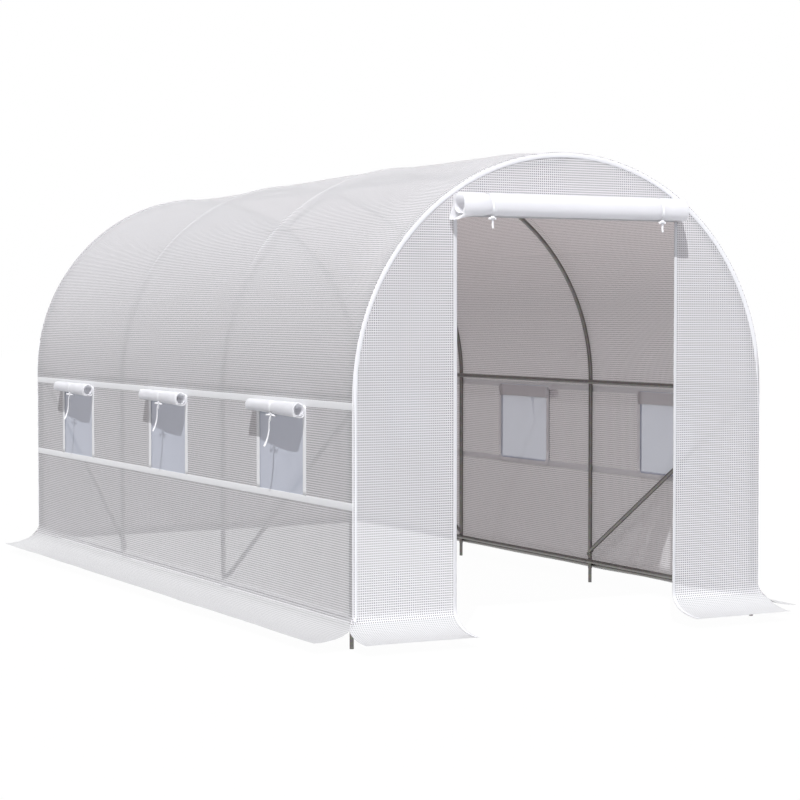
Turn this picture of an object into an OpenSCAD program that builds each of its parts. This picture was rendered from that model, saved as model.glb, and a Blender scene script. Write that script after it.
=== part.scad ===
// Walk-in polytunnel greenhouse: a steel tube frame of four hoops under a fitted ripstop cover,
// with roll-up windows along both sides and a roll-up door in the front end.
// The door faces -Y, +X is to the right of someone facing it, and the feet stand on z = 0.

/* [Frame] */
// Distance between neighbouring hoops, centre to centre
hoop_pitch = 1320; // [1200:10:1600]
// Radius of each hoop's arch, to the middle of its tube
hoop_r = 1000; // [950:10:1150]
// Height where the straight legs end and the arch begins
spring_h = 1015; // [960:5:1150]
// Outside diameter of the frame tube
tube_d = 20; // [17:1:25]
// Wall of the frame tube
tube_wall = 1; // [0.8:0.1:1.5]
// Height of the bottom ends of the legs above the ground
leg_foot_h = 72; // [50:1:74]
// How far a foot peg reaches up into its leg
peg_insert = 120; // [60:10:200]
// How far the swaged end of an arch reaches down into its leg
spigot_l = 70; // [40:5:120]
// Height of the base rails inside the legs
base_rail_h = 110; // [108:1:140]
// Height of the base rails outside the legs, which hold the skirts out
outer_rail_h = 88; // [88:1:94]
// Drop of the middle rails below the spring line
mid_rail_drop = 2; // [0:1:20]
// Distance of a brace's bolt from the middle of the rail beside it
brace_inset = 34; // [30:1:50]
// Thickness of the flattened ends of the braces
brace_tab_t = 3; // [2:0.5:5]
// Length of a flattened end from its bolt to the round tube
brace_tab_l = 30; // [20:1:45]

/* [Cover] */
// Thickness of the cover sheet
sheet_t = 3; // [2:0.5:4]
// How far the cover overhangs the end hoops, so that the end walls hang clear of them
end_gap = 25; // [0:1:60]
// Height where the walls end and the skirts begin
skirt_top_h = 150; // [140:5:200]
// How far the skirts reach out from the walls
flare_w = 190; // [170:5:240]
// Height that the skirts fall over that reach
flare_h = 105; // [80:1:120]
// Thickness of the seam, edge and frame tapes
tape_t = 1.2; // [0.8:0.1:2]
// Width of the seam tapes along the sides
seam_tape_w = 30; // [24:1:40]
// Drop of the upper seam below the spring line
upper_seam_drop = 36; // [20:1:45]
// Width of the tapes along the edges of the two ends
edge_tape_w = 22; // [18:1:40]

/* [Windows] */
// Width of a window's clear opening
window_w = 446; // [300:2:560]
// Height of a window's clear opening, from seam tape to seam tape
window_h = 374; // [300:2:400]
// Width of the tapes up the two sides of a window
window_tape_w = 35; // [20:1:50]
// Overlap of a window screen behind the sheet around it
screen_lap = 14; // [8:1:20]
// Thickness of a window screen
screen_t = 2; // [1:0.5:3]
// Diameter of a rolled-up window flap
window_roll_d = 64; // [50:1:80]
// Length of a rolled-up window flap
window_roll_l = 510; // [460:10:650]
// Drop of a window roll's middle below the upper seam
window_roll_drop = 32; // [28:1:45]

/* [Door] */
// Width of the doorway
door_w = 1090; // [800:10:1160]
// Drop of the doorway's head below the top of the arches
door_head_drop = 280; // [275:5:365]
// Width of the zip tapes beside the doorway
door_tape_w = 24; // [16:1:40]
// Diameter of the rolled-up door sheet
door_roll_d = 94; // [80:2:110]
// Length of the rolled-up door sheet
door_roll_l = 1110; // [900:10:1140]
// Height of the door roll's middle above the doorway
door_roll_rise = 68; // [62:1:95]
// Distance between the two door ties
door_tie_pitch = 840; // [600:10:960]

/* [Ties] */
// Width of the tie straps
strap_w = 9; // [6:0.5:14]
// Thickness of the tie straps
strap_t = 1.2; // [0.8:0.1:2]
// Size of the knot in a tie
knot_d = 15; // [12:0.5:20]
// Size of the two loops of a bow
bow_d = 24; // [16:1:32]
// Length of the short strap end below a door tie's knot
door_tail_l = 34; // [20:1:40]
// Length of the strap stub that a window tie's tail hangs from
stub_l = 8; // [4:1:14]

/* [Hidden] */
$fn = 96;
// Segments of the large arcs of the cover
arch_fn = 288;
bay_count = 3;
// Clearance between pieces that lie against each other on round faces or slide together
fit_gap = 0.3;
// How far a cutting tool runs past the face that it cuts
cut = 1;
// Thickness of the closed bottom of a foot peg
peg_floor = 4;
// Height of the shoulder where an arch narrows to its swaged end
shoulder_h = 4;
// How far a brace's flattened end runs into the round tube
brace_tab_lap = 18;
// Distance between neighbouring turns of a roll, from face to face
roll_turn_pitch = sheet_t + 2;
roll_turns = 2.3;
roll_step = 12;
// Rise of a roll's sheet above the roll's own top, where it is sewn on
flap_rise = 3;
flare_step = 7.5;
// Where a strap's wrap ends, and where its knot sits, as angles from the wall side of the roll
strap_end_a = 300;
window_knot_a = 238;
door_knot_a = 258;

// A brace's flattened end is cropped to the width of the tube, within the faces of the hoop
brace_tab_w = tube_d;
tube_bore = tube_d - 2 * tube_wall;
peg_d = tube_bore - 2 * fit_gap;
peg_bore = peg_d - 2 * tube_wall;
frame_l = bay_count * hoop_pitch;
hoop_ys = [for (i = [0:bay_count]) i * hoop_pitch - frame_l / 2];
bay_ys = [for (i = [0:bay_count - 1]) (i + 0.5) * hoop_pitch - frame_l / 2];
rail_l = frame_l + tube_d;
rail_x = hoop_r - tube_d - fit_gap;
outer_rail_x = hoop_r + tube_d + fit_gap;
ridge_rail_h = spring_h + hoop_r - tube_d - fit_gap;
mid_rail_h = spring_h - mid_rail_drop;

// Inner and outer faces of the cover: half widths of the walls and half lengths of the ends
wall_in = hoop_r + tube_d / 2 + fit_gap;
wall_out = wall_in + sheet_t;
wall_face = wall_out + tape_t;
end_in = frame_l / 2 + tube_d / 2 + end_gap;
end_out = end_in + sheet_t;
end_face = end_out + tape_t;
upper_seam_h = spring_h - upper_seam_drop;
lower_seam_h = upper_seam_h - window_h - seam_tape_w;
window_foot_h = lower_seam_h + seam_tape_w / 2;

window_roll_h = upper_seam_h - window_roll_drop;
window_roll_x = wall_face + window_roll_d / 2;
door_head_h = spring_h + hoop_r - door_head_drop;
door_roll_h = door_head_h + door_roll_rise;
door_roll_y = -(end_face + door_roll_d / 2);
panel_w = wall_out - door_w / 2;
// The tape that the door sheet is sewn along, kept clear of the edge tape on the arch
head_tape_h = door_roll_h + door_roll_d / 8;
head_tape_top = head_tape_h + seam_tape_w;
head_tape_l = 2 * (sqrt((wall_out - edge_tape_w) ^ 2 - (head_tape_top - spring_h) ^ 2) - seam_tape_w / 2);

// Middle of a window tie's knot and the flat end that its tail hangs from, from the roll's middle
knot_lift = strap_t + knot_d / 4;
knot_radius = window_roll_d / 2 + fit_gap + knot_lift;
tail_out = -knot_radius * cos(window_knot_a);
tail_drop = knot_radius * -sin(window_knot_a) + knot_d / 2 + stub_l;
// The route of a window tie's tail from that end: out from the wall, along it, and up
tail_route = [
  [0, 0, 0], [0, 0, -10], [0, 0, -22], [0, 1, -36], [1, 1, -50],
  [3, 2, -64], [6, 3, -78], [10, 4, -91], [15, 5, -104], [21, 6, -116],
];

steel = "#6b6763";
ripstop = "#eef0f3";
screen_grey = "#b9bfca";
tape_white = "#fafafc";

// Mirrors what is drawn for the right side (+X) when side is -1
module on_side(side) mirror([side < 0 ? 1 : 0, 0, 0]) children();

// Stands an outline drawn in x and z upright and gives it a depth from y = 0 towards -Y
module upright(depth) rotate([90, 0, 0]) linear_extrude(depth) children();

module tube(outer, bore, length) difference() {
  cylinder(d = outer, h = length);
  translate([0, 0, -cut]) cylinder(d = bore, h = length + 2 * cut);
}

// The outline of the tunnel's cross-section at half width r, from the height foot up
module tunnel_outline(r, foot) intersection() {
  union() {
    translate([0, spring_h]) circle(r, $fn = arch_fn);
    translate([-r, 0]) square([2 * r, spring_h]);
  }
  translate([-r, foot]) square([2 * r, spring_h + r - foot]);
}

module legs(side) color(steel) on_side(side)
  for (y = hoop_ys) translate([hoop_r, y, leg_foot_h]) tube(tube_d, tube_bore, spring_h - leg_foot_h);

// The swaged end of an arch, with the shoulder that stands on the leg
module spigot() difference() {
  union() {
    translate([0, 0, -spigot_l]) cylinder(d = peg_d, h = spigot_l);
    cylinder(d = tube_d - tube_wall, h = shoulder_h);
  }
  translate([0, 0, -spigot_l - cut]) cylinder(d = peg_bore, h = spigot_l + shoulder_h + 2 * cut);
}

module arch(index) color(steel) translate([0, hoop_ys[index], spring_h]) {
  rotate([90, 0, 0]) rotate_extrude(angle = 180) translate([hoop_r, 0]) difference() {
    circle(d = tube_d);
    circle(d = tube_bore);
  }
  for (side = [-1, 1]) translate([side * hoop_r, 0, 0]) spigot();
}

// Closed-ended pegs that carry the legs and push into soft ground
module foot_pegs() color(steel) for (side = [-1, 1], y = hoop_ys)
  translate([side * hoop_r, y, 0]) difference() {
    cylinder(d = peg_d, h = leg_foot_h + peg_insert);
    translate([0, 0, peg_floor]) cylinder(d = peg_bore, h = leg_foot_h + peg_insert);
  }

module rail(x, h) translate([x, -rail_l / 2, h]) rotate([-90, 0, 0]) tube(tube_d, tube_bore, rail_l);

module side_rails(side) color(steel) on_side(side) {
  for (h = [base_rail_h, mid_rail_h]) rail(rail_x, h);
  rail(outer_rail_x, outer_rail_h);
}

module ridge_rail() color(steel) rail(0, ridge_rail_h);

module brace_tab() translate([tube_d / 2 - brace_tab_t, 0, 0]) rotate([90, 0, 90])
  linear_extrude(brace_tab_t) {
    circle(d = brace_tab_w);
    translate([0, -brace_tab_w / 2]) square([brace_tab_l + brace_tab_lap, brace_tab_w]);
  }

// A brace from under the middle rail at one hoop to over the base rail at the next
module brace(top_y, foot_y) {
  run = foot_y - top_y;
  fall = mid_rail_h - base_rail_h - 2 * brace_inset;
  length = norm([run, fall]);
  translate([rail_x, top_y, mid_rail_h - brace_inset]) rotate([atan2(-fall, run), 0, 0]) {
    translate([0, brace_tab_l, 0]) rotate([-90, 0, 0]) tube(tube_d, tube_bore, length - 2 * brace_tab_l);
    brace_tab();
    translate([0, length, 0]) mirror([0, 1, 0]) brace_tab();
  }
}

module braces(side) color(steel) on_side(side) {
  brace(hoop_ys[0], hoop_ys[1]);
  brace(hoop_ys[bay_count], hoop_ys[bay_count - 1]);
}

module roof_sheet() color(ripstop) translate([0, end_in, 0]) upright(2 * end_in) difference() {
  tunnel_outline(wall_out, upper_seam_h);
  tunnel_outline(wall_in, upper_seam_h - cut);
}

// A flat strip of side wall on the +X side between two heights
module wall_strip(foot, top) translate([wall_in, -end_in, foot]) cube([sheet_t, 2 * end_in, top - foot]);

module window_band(side) color(ripstop) on_side(side) difference() {
  wall_strip(lower_seam_h, upper_seam_h);
  for (y = bay_ys) translate([wall_in - cut, y - window_w / 2, window_foot_h])
    cube([sheet_t + 2 * cut, window_w, window_h]);
}

module lower_wall(side) color(ripstop) on_side(side) wall_strip(skirt_top_h, lower_seam_h);

// A point on the skirt's flare, a quarter ellipse, moved inwards by depth
function flare_normal(a) = [-flare_h * cos(a), -flare_w * sin(a)] / norm([flare_h * cos(a), flare_w * sin(a)]);
function flare_point(a, depth) = [flare_w * (1 - cos(a)), -flare_h * sin(a)] + depth * flare_normal(a);

module flare_outline() polygon(concat(
  [for (a = [0:flare_step:90]) flare_point(a, 0)],
  [for (a = [90:-flare_step:0]) flare_point(a, sheet_t)]
));

module side_skirt(side) color(ripstop) on_side(side)
  translate([wall_out, end_in, skirt_top_h]) upright(2 * end_in) flare_outline();

// A skirt along the front, from start_x on towards -X
module front_skirt(start_x, width) color(ripstop)
  translate([start_x, -end_out, skirt_top_h]) rotate([0, 0, -90]) upright(width) flare_outline();

module rear_skirt() color(ripstop)
  translate([-wall_out, end_out, skirt_top_h]) rotate([0, 0, 90]) upright(2 * wall_out) flare_outline();

// The part of the front end sheet inside a rectangle of x and z
module front_sheet(corner, size) color(ripstop) translate([0, -end_in, 0]) upright(sheet_t) intersection() {
  tunnel_outline(wall_out, skirt_top_h);
  translate(corner) square(size);
}

module front_left_panel() front_sheet([-wall_out, skirt_top_h], [panel_w, door_head_h - skirt_top_h]);
module front_right_panel() front_sheet([door_w / 2, skirt_top_h], [panel_w, door_head_h - skirt_top_h]);
module front_gable() front_sheet([-wall_out, door_head_h], [2 * wall_out, spring_h + wall_out - door_head_h]);

module rear_panel() color(ripstop)
  translate([0, end_out, 0]) upright(sheet_t) tunnel_outline(wall_out, skirt_top_h);

module edge_tape(y) color(tape_white) translate([0, y, 0]) upright(tape_t) difference() {
  tunnel_outline(wall_out, skirt_top_h);
  tunnel_outline(wall_out - edge_tape_w, skirt_top_h - cut);
}

module seam_tapes(side) color(tape_white) on_side(side) for (h = [lower_seam_h, upper_seam_h])
  translate([wall_out, -end_in, h - seam_tape_w / 2]) cube([tape_t, 2 * end_in, seam_tape_w]);

module window_tapes(side) color(tape_white) on_side(side)
  for (y = bay_ys, start = [-window_w / 2 - window_tape_w, window_w / 2])
    translate([wall_out, y + start, window_foot_h]) cube([tape_t, window_tape_w, window_h]);

module window_screens(side) color(screen_grey) on_side(side) for (y = bay_ys)
  translate([wall_in - screen_t, y - window_w / 2 - screen_lap, window_foot_h - screen_lap])
    cube([screen_t, window_w + 2 * screen_lap, window_h + 2 * screen_lap]);

module door_tapes() color(tape_white) {
  for (x = [-door_w / 2 - door_tape_w, door_w / 2])
    translate([x, -end_face, skirt_top_h]) cube([door_tape_w, tape_t, door_head_h - skirt_top_h]);
  translate([-head_tape_l / 2, -end_face, head_tape_h]) cube([head_tape_l, tape_t, seam_tape_w]);
}

// The section of a rolled sheet about the roll's middle. The wall is at x = d / 2: the sheet hangs
// down it, passes under the roll and winds inwards.
function roll_point(r, turn, depth) =
  (r - roll_turn_pitch * turn / 360 - depth) * [cos(turn), -sin(turn)];

module roll_outline(d) polygon(concat(
  [[d / 2, d / 2 + flap_rise]],
  [for (turn = [0:roll_step:360 * roll_turns]) roll_point(d / 2, turn, 0)],
  [for (turn = [360 * roll_turns:-roll_step:0]) roll_point(d / 2, turn, sheet_t)],
  [[d / 2 - sheet_t, d / 2 + flap_rise]]
));

// The section of a strap sewn to that sheet over a roll and wrapped round its front
module strap_outline(d) {
  inner = d / 2 + fit_gap;
  translate([0, inner]) square([d / 2 - sheet_t, strap_t]);
  difference() {
    circle(inner + strap_t);
    circle(inner);
    polygon([[0, 0], [0, d], [d, d], [d, -d], 2 * d * [cos(strap_end_a), sin(strap_end_a)]]);
  }
}

// A tied bow on a roll of diameter d: its strap, knot and two loops, with the strap end below the knot.
// The roll's axis is z, and y is up.
module tie(d, knot_a, end_l) {
  inner = d / 2 + fit_gap;
  knot_at = (inner + knot_lift) * [cos(knot_a), sin(knot_a)];
  translate([0, 0, -strap_w / 2]) linear_extrude(strap_w) strap_outline(d);
  difference() {
    translate(knot_at) {
      sphere(d = knot_d);
      for (side = [-1, 1]) rotate([0, 0, knot_a]) translate([0, 0, side * (bow_d + knot_d) * 0.4])
        rotate([0, 90, 0]) tube(bow_d, bow_d - 2 * strap_t, strap_w);
      translate([-strap_t / 2, -knot_d / 2 - end_l, -strap_w / 2]) cube([strap_t, knot_d / 2 + end_l, strap_w]);
    }
    translate([0, 0, -bow_d * 2]) cylinder(r = inner, h = bow_d * 4);
  }
}

// Turns a section drawn with the wall at +x into a roll along Y on the +X wall of the tunnel
module on_wall(y) translate([window_roll_x, y, window_roll_h]) rotate([90, 0, 0]) mirror([1, 0, 0]) children();

module window_rolls(side) color(ripstop) on_side(side) for (y = bay_ys)
  on_wall(y) translate([0, 0, -window_roll_l / 2]) linear_extrude(window_roll_l) roll_outline(window_roll_d);

module window_ties(side) color(tape_white) on_side(side) for (y = bay_ys)
  on_wall(y) tie(window_roll_d, window_knot_a, stub_l);

// Turns a section drawn with the wall at +x into a roll along X on the front of the tunnel
module on_front(x) translate([x, door_roll_y, door_roll_h]) rotate([90, 0, 90]) children();

module door_roll() color(ripstop)
  on_front(-door_roll_l / 2) linear_extrude(door_roll_l) roll_outline(door_roll_d);

module door_ties() color(tape_white) for (side = [-1, 1])
  on_front(side * door_tie_pitch / 2) tie(door_roll_d, door_knot_a, door_tail_l);

// An eight-sided strap section, wide along y, on each point of a tail's route
function strap_ring(p, along) = [
  for (corner = [[-1, 0.5], [-0.9, 1], [0.9, 1], [1, 0.5], [1, -0.5], [0.9, -1], [-0.9, -1], [-1, -0.5]])
    p + [corner[1] * strap_t / 2 * along[2], corner[0] * strap_w / 2, -corner[1] * strap_t / 2 * along[0]]
];

module swept_strap(route) {
  last = len(route) - 1;
  directions = [for (i = [0:last]) route[min(i + 1, last)] - route[max(i - 1, 0)]];
  rings = [for (i = [0:last]) each strap_ring(route[i], directions[i] / norm(directions[i]))];
  sides = len(rings) / (last + 1);
  walls = [for (i = [0:last - 1], k = [0:sides - 1])
    [i * sides + k, i * sides + (k + 1) % sides, (i + 1) * sides + (k + 1) % sides, (i + 1) * sides + k]];
  polyhedron(rings, concat(
    walls, [[for (k = [sides - 1:-1:0]) k]], [[for (k = [0:sides - 1]) last * sides + k]]
  ), convexity = 4);
}

module tie_tail(side, bay) color(tape_white) on_side(side)
  translate([window_roll_x + tail_out, bay_ys[bay], window_roll_h - tail_drop]) swept_strap(tail_route);

legs(-1);  // left_legs
legs(1);  // right_legs
arch(0);  // front_arch
arch(1);  // second_arch
arch(2);  // third_arch
arch(3);  // rear_arch
foot_pegs();
side_rails(-1);  // left_rails
side_rails(1);  // right_rails
ridge_rail();
braces(-1);  // left_braces
braces(1);  // right_braces
roof_sheet();
window_band(-1);  // left_window_band
window_band(1);  // right_window_band
lower_wall(-1);  // left_lower_wall
lower_wall(1);  // right_lower_wall
side_skirt(-1);  // left_skirt
side_skirt(1);  // right_skirt
front_left_panel();
front_right_panel();
front_gable();
front_skirt(-door_w / 2, panel_w);  // front_left_skirt
front_skirt(wall_out, panel_w);  // front_right_skirt
rear_panel();
rear_skirt();
seam_tapes(-1);  // left_seam_tapes
seam_tapes(1);  // right_seam_tapes
window_tapes(-1);  // left_window_tapes
window_tapes(1);  // right_window_tapes
window_screens(-1);  // left_window_screens
window_screens(1);  // right_window_screens
edge_tape(-end_out);  // front_edge_tape
edge_tape(end_face);  // rear_edge_tape
door_tapes();
window_rolls(-1);  // left_window_rolls
window_rolls(1);  // right_window_rolls
door_roll();
window_ties(-1);  // left_window_ties
window_ties(1);  // right_window_ties
door_ties();
tie_tail(-1, 0);  // left_tie_tail_1
tie_tail(-1, 1);  // left_tie_tail_2
tie_tail(-1, 2);  // left_tie_tail_3
tie_tail(1, 0);  // right_tie_tail_1
tie_tail(1, 1);  // right_tie_tail_2
tie_tail(1, 2);  // right_tie_tail_3
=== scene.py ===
# Walk-in polytunnel greenhouse: four hoops of steel tube under a fitted cover of white ripstop sheet, with a
# rolled-up door in the front end and three rolled-up windows along each side. Metres, +Z up, door at -Y.
import math

import bmesh
import bpy
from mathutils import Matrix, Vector, noise


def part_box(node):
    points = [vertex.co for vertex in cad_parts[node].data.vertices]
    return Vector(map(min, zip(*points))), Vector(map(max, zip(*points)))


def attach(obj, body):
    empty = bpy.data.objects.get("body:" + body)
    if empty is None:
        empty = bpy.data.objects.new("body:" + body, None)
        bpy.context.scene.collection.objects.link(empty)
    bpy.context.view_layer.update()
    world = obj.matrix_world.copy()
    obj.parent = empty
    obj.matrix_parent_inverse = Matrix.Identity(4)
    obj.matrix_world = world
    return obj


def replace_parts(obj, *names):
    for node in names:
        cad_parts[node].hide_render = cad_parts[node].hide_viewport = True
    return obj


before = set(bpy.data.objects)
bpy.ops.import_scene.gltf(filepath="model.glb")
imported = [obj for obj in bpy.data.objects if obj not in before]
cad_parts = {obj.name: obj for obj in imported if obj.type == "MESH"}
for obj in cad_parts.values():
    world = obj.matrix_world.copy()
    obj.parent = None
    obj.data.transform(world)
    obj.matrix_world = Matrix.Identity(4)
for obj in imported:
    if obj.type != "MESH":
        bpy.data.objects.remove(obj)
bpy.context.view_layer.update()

# View
# A long lens at chest height, from the front left, as far off as a wide room allows.
view_place = (-4.724, -9.458, 1.347)
view_yaw, view_pitch = 27.81, -2.34
camera_data = bpy.data.cameras.new("view")
camera_data.sensor_width = 36.0
camera_data.lens = 93.62
camera = bpy.data.objects.new("view", camera_data)
camera.location = view_place
camera.rotation_euler = (math.radians(90 + view_pitch), 0, math.radians(-view_yaw))
bpy.context.scene.collection.objects.link(camera)
bpy.context.scene.camera = camera
bpy.context.scene.view_settings.view_transform = "Standard"

# Window tie tails
# The long end of the strap that ties each window roll: limp woven polyester, cut off square. It hangs
# from the knot under the roll, and its lower end stands away from the wall.
strap_width = 0.009
strap_thick = 0.0012
# Out from the wall, along it and up, in millimetres from where the strap hangs free; it starts in the knot
tail_route = [
    (-10, 0, 22), (-7, 0, 15), (-3, 0, 7), (-1, 0, 0), (0, 0, -10), (0, 0, -22), (0, 1, -36), (1, 1, -50),
    (3, 2, -64), (6, 3, -78), (10, 4, -91), (15, 5, -104), (21, 6, -116),
]
tail_twist = math.radians(35)
sides = {"left": -1, "right": 1}


def linear(hex_colour):
    """A hex sRGB colour as linear red, green, blue and alpha."""
    values = [int(hex_colour[i:i + 2], 16) / 255 for i in (1, 3, 5)]
    return [v / 12.92 if v <= 0.04045 else ((v + 0.055) / 1.055) ** 2.4 for v in values] + [1.0]


def new_material(name):
    """An empty node material and its tree."""
    material = bpy.data.materials.new(name)
    material.use_nodes = True
    material.node_tree.nodes.clear()
    return material, material.node_tree


def add(tree, kind, inputs=None, **settings):
    """Add a node with its settings; each input gets a value, or a link from a node or a socket."""
    node = tree.nodes.new(kind)
    for key, value in settings.items():
        setattr(node, key, value)
    for key, value in (inputs or {}).items():
        if isinstance(value, bpy.types.Node):
            value = value.outputs[0]
        if isinstance(value, bpy.types.NodeSocket):
            tree.links.new(value, node.inputs[key])
        else:
            node.inputs[key].default_value = value
    return node


def smooth_path(points, count):
    """A smooth line through the points, with that many steps from each to the next."""
    ends = [points[0] * 2 - points[1]] + points + [points[-1] * 2 - points[-2]]
    line = []
    for a, b, c, d in zip(ends, ends[1:], ends[2:], ends[3:]):
        for step in range(count):
            t = step / count
            line.append((b * 2 + (c - a) * t + (a * 2 - b * 5 + c * 4 - d) * t ** 2
                         + (b * 3 - a - c * 3 + d) * t ** 3) / 2)
    return line + [points[-1]]


def strap_rings(path, across, width=strap_width, thick=strap_thick):
    """Flat sections with rounded edges along a path, each as wide as the strap in its direction across."""
    section = [(-1, 0.5), (-0.9, 1), (0.9, 1), (1, 0.5), (1, -0.5), (0.9, -1), (-0.9, -1), (-1, -0.5)]
    rings = []
    for i, point in enumerate(path):
        ahead = path[min(i + 1, len(path) - 1)] - path[max(i - 1, 0)]
        up = ahead.cross(across[i]).normalized()
        side = up.cross(ahead).normalized()
        rings.append([point + side * (u * width / 2) + up * (v * thick / 2) for u, v in section])
    return rings


def swept(rings):
    """Points and faces of the closed surface through rings of points, with a flat face over each end."""
    count, last = len(rings[0]), (len(rings) - 1) * len(rings[0])
    faces = [(r + k, r + (k + 1) % count, r + count + (k + 1) % count, r + count + k)
             for r in range(0, last, count) for k in range(count)]
    faces += [tuple(range(count))[::-1], tuple(range(last, last + count))]
    return [point for ring in rings for point in ring], faces


def joined(parts):
    """One list of points and one of faces from several."""
    points, faces = [], []
    for part_points, part_faces in parts:
        start = len(points)
        points += part_points
        faces += [tuple(start + i for i in face) for face in part_faces]
    return points, faces


def add_piece(name, shape, material, cloth=None):
    """A smooth-shaded object that rides on the tunnel. cloth gives each point's place on the flat cloth."""
    points, faces = shape
    mesh = bpy.data.meshes.new(name)
    mesh.from_pydata([tuple(p) for p in points], [], faces)
    work = bmesh.new()
    work.from_mesh(mesh)
    bmesh.ops.recalc_face_normals(work, faces=work.faces)
    work.to_mesh(mesh)
    work.free()
    mesh.materials.append(material)
    mesh.shade_smooth()
    if cloth:
        layer = mesh.uv_layers.new(name="cloth")
        for loop in mesh.loops:
            layer.data[loop.index].uv = cloth[loop.vertex_index]
    piece = bpy.data.objects.new(name, mesh)
    bpy.context.scene.collection.objects.link(piece)
    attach(piece, "root")
    return piece


# Woven polyester strap: a soft white ribbon with fine cross ribs, which only show close up
strap_rib = 0.0016
# Length of the wave texture's bands at a scale of 1
wave_band = 0.314
stains_per_metre = 60
polyester, tree = new_material("woven polyester strap")
place = add(tree, "ShaderNodeTexCoord").outputs["Object"]
ribs = add(tree, "ShaderNodeTexWave", {"Vector": place, "Scale": wave_band / strap_rib, "Distortion": 1.5},
           bands_direction="DIAGONAL")
soiling = add(tree, "ShaderNodeTexNoise", {"Vector": place, "Scale": stains_per_metre, "Detail": 3})
tint = add(tree, "ShaderNodeMix", {"Factor": soiling.outputs["Fac"], 6: linear("#f7f7f9"), 7: linear("#ecebee")},
           data_type="RGBA")
bump = add(tree, "ShaderNodeBump", {"Strength": 0.35, "Distance": 0.0003, "Height": ribs.outputs["Fac"]})
surface = add(tree, "ShaderNodeBsdfPrincipled",
              {"Base Color": tint.outputs[2], "Roughness": 0.62, "Sheen Weight": 0.15, "Normal": bump})
add(tree, "ShaderNodeOutputMaterial", {"Surface": surface})

for side_name, side in sides.items():
    for number in (1, 2, 3):
        node_name = f"{side_name}_tie_tail_{number}"
        low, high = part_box(node_name)
        inner_x = high.x if side < 0 else low.x
        start = Vector((inner_x + side * strap_thick / 2, low.y + strap_width / 2, high.z))
        route = [start + Vector((side * out, along, rise)) / 1000 for out, along, rise in tail_route]
        path = smooth_path(route, 4)
        turns = [tail_twist * (i / len(path)) ** 2 for i in range(len(path))]
        across = [Vector((side * math.sin(turn), math.cos(turn), 0)) for turn in turns]
        tail = add_piece(f"{side_name}_window_tail_{number}", swept(strap_rings(path, across)), polyester)
        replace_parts(tail, node_name)

# Tube frame
# Legs, arches, pegs, rails and braces of thin-walled steel tube, roll formed, seam welded and zinc coated.
# They push together and are bolted where they cross, so the frame's own solids are shown.
frame_nodes = [
    "left_legs", "right_legs", "front_arch", "second_arch", "third_arch", "rear_arch", "foot_pegs",
    "left_rails", "right_rails", "ridge_rail", "left_braces", "right_braces",
]
# Dull zinc on steel: grey with a warm cast, faint spangle and cloudy patches of oxide that scatter the gloss
spangle_size = 0.007
cloud_size = 0.05
zinc, tree = new_material("dull zinc-coated steel")
place = add(tree, "ShaderNodeTexCoord").outputs["Object"]
spangle = add(tree, "ShaderNodeTexVoronoi", {"Vector": place, "Scale": 1 / spangle_size})
cloud = add(tree, "ShaderNodeTexNoise", {"Vector": place, "Scale": 1 / cloud_size, "Detail": 4, "Roughness": 0.6})
tint = add(tree, "ShaderNodeMix", {"Factor": cloud.outputs["Fac"], 6: linear("#6c6a68"), 7: linear("#8e8b88")},
           data_type="RGBA")
grained = add(tree, "ShaderNodeMix", {"Factor": 0.12, 6: tint.outputs[2], 7: spangle.outputs["Color"]},
              data_type="RGBA", blend_type="OVERLAY")
gloss = add(tree, "ShaderNodeMapRange", {"Value": cloud.outputs["Fac"], "To Min": 0.28, "To Max": 0.44})
bump = add(tree, "ShaderNodeBump", {"Strength": 0.2, "Distance": 0.0002, "Height": cloud.outputs["Fac"]})
surface = add(tree, "ShaderNodeBsdfPrincipled",
              {"Base Color": grained.outputs[2], "Metallic": 0.85, "Roughness": gloss, "Normal": bump})
add(tree, "ShaderNodeOutputMaterial", {"Surface": surface})
for name in frame_nodes:
    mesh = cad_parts[name].data
    mesh.materials.clear()
    mesh.materials.append(zinc)

# Frame bolts
# A domed steel bolt with a washer where each rail crosses a hoop and at both flattened ends of each brace.
# The heads face into the tunnel.
hoop_ys = [sum(c.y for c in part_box(name)) / 2 for name in ("front_arch", "second_arch", "third_arch", "rear_arch")]
tube_radius = 0.010
rail_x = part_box("right_legs")[0].x - tube_radius
mid_rail_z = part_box("right_rails")[1].z - tube_radius
base_rail_z = 0.110
brace_inset = 0.034
brace_tab = 0.003
ridge_rail_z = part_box("ridge_rail")[0].z + tube_radius
# Radius and height along the axis of the washer and the head
bolt_profile = [
    (0.0075, -0.0015), (0.0075, 0.0008), (0.0056, 0.001), (0.0053, 0.003), (0.0036, 0.0042), (0.0012, 0.0046),
]


def turned(profile, foot, axis, facets=14):
    """A turned shape that stands on the point foot, with its axis in that direction."""
    aside = axis.orthogonal().normalized()
    beside = axis.cross(aside)
    angles = [2 * math.pi * k / facets for k in range(facets)]
    return swept([[foot + axis * height + (aside * math.cos(a) + beside * math.sin(a)) * radius for a in angles]
                  for radius, height in profile])


bolts = [turned(bolt_profile, Vector((0, y, ridge_rail_z - tube_radius)), Vector((0, 0, -1))) for y in hoop_ys]
for side in sides.values():
    inwards = Vector((-side, 0, 0))
    for y in hoop_ys:
        for z in (base_rail_z, mid_rail_z):
            bolts.append(turned(bolt_profile, Vector((side * (rail_x - tube_radius), y, z)), inwards))
    tab_x = side * (rail_x + tube_radius - brace_tab)
    for top_y, foot_y in ((hoop_ys[0], hoop_ys[1]), (hoop_ys[3], hoop_ys[2])):
        bolts.append(turned(bolt_profile, Vector((tab_x, top_y, mid_rail_z - brace_inset)), inwards))
        bolts.append(turned(bolt_profile, Vector((tab_x, foot_y, base_rail_z + brace_inset)), inwards))
add_piece("frame_bolts", joined(bolts), zinc)

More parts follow.
